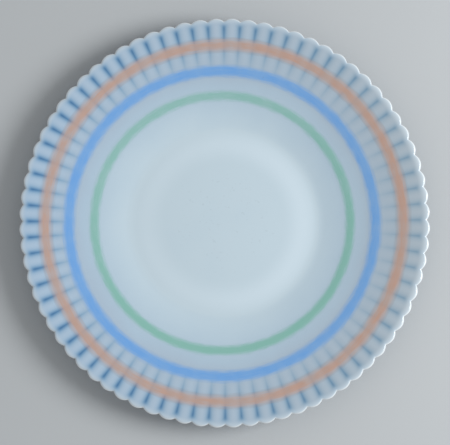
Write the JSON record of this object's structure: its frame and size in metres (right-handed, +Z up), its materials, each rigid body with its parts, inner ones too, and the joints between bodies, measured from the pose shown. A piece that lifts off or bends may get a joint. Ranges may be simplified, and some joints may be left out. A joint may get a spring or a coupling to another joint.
{
  "type": "salver",
  "caption": "Shallow round opal-glass salver with a petal-fluted scalloped rim, a low foot ring and pastel enamel bands, for serving and carrying food.",
  "frame": {"origin": "on the table under the middle of the plate, at the centre of the foot ring's flat land", "axes": "+Z up along the plate's axis, +X through a notch between two petals, at the right of the picture, +Y towards the picture's top"},
  "size_m": [0.2792, 0.2792, 0.0213],
  "materials": {
    "opal_glass": "glossy pressed opal glass, white where thick and bluish where thin",
    "pink_enamel": "fired enamel, satin, worn thin in places",
    "blue_enamel": "fired enamel, satin",
    "green_enamel": "fired enamel, satin"
  },
  "bodies": {
    "root": {"glass_body": "opal_glass", "pink_enamel_band": "pink_enamel", "blue_enamel_band": "blue_enamel", "green_enamel_band": "green_enamel"}
  },
  "joints": []
}
